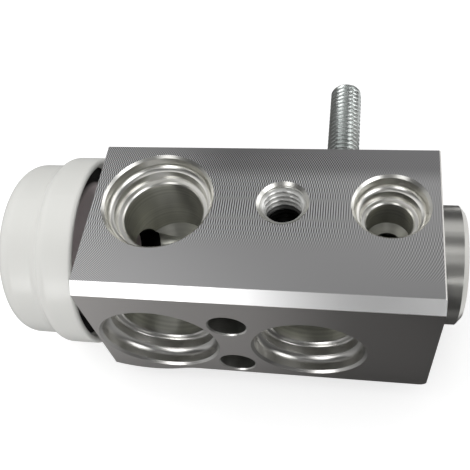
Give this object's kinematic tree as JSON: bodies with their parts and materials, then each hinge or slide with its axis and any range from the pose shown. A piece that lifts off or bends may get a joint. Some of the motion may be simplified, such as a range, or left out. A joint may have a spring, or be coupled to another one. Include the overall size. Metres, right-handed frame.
{
  "type": "thermostatic expansion valve",
  "caption": "Block-type refrigerant expansion valve: drilled aluminium block, capped power head, spring-loaded ball, adjusting plug and clamp stud.",
  "frame": {"origin": "on the evaporator face, midway between the two bolt holes", "axes": "+X along the valve axis from the power head to the adjusting plug, +Y from the evaporator face through the block to the stud, +Z out of the pipe face"},
  "size_m": [0.0836, 0.0513, 0.037],
  "materials": {
    "block_aluminium": "milled",
    "turned_aluminium": "turned",
    "cap_plastic": "satin moulding",
    "head_steel": "pressed",
    "ball_steel": "polished",
    "spring_steel": "drawn",
    "plated_steel": "zinc plated",
    "seal_rubber": "matte"
  },
  "bodies": {
    "valve_body": {"valve_block": "block_aluminium", "head_cap": "cap_plastic", "head_dome": "head_steel", "fill_ball": "ball_steel", "diaphragm": "head_steel", "head_base": "head_steel", "head_neck": "head_steel", "head_seal": "seal_rubber", "rod_seal": "seal_rubber", "rod_seal_retainer": "head_steel", "mounting_stud": "plated_steel"},
    "valve_stem": {"diaphragm_stop": "turned_aluminium", "sensing_rod": "turned_aluminium", "push_rod": "ball_steel", "valve_ball": "ball_steel", "ball_carrier": "turned_aluminium", "damper_spring": "spring_steel", "valve_spring": "spring_steel"},
    "plug_ring": {"adjusting_plug_seal": "seal_rubber"},
    "plug": {"adjusting_plug": "turned_aluminium"}
  },
  "joints": [
    {"name": "valve_stroke", "type": "slide", "parent": "valve_body", "child": "valve_stem", "axis": [1, 0, 0], "range_m": [0, 0.0008], "stiffness_N_per_m": 3300, "deforming": ["valve_spring"]},
    {"name": "plug_advance", "type": "slide", "parent": "valve_body", "child": "plug_ring", "axis": [1, 0, 0], "range_m": [-0.0005, 0.0007], "deforming": ["valve_spring"]},
    {"name": "plug_turn", "type": "hinge", "parent": "plug_ring", "child": "plug", "pos_m": [0.0347, 0.0189, 0], "axis": [1, 0, 0], "range_deg": [-180, 252]}
  ],
  "couplings": [
    {"joint": "plug_advance", "follows": "plug_turn", "m_per_rad": 0.00015915}
  ]
}
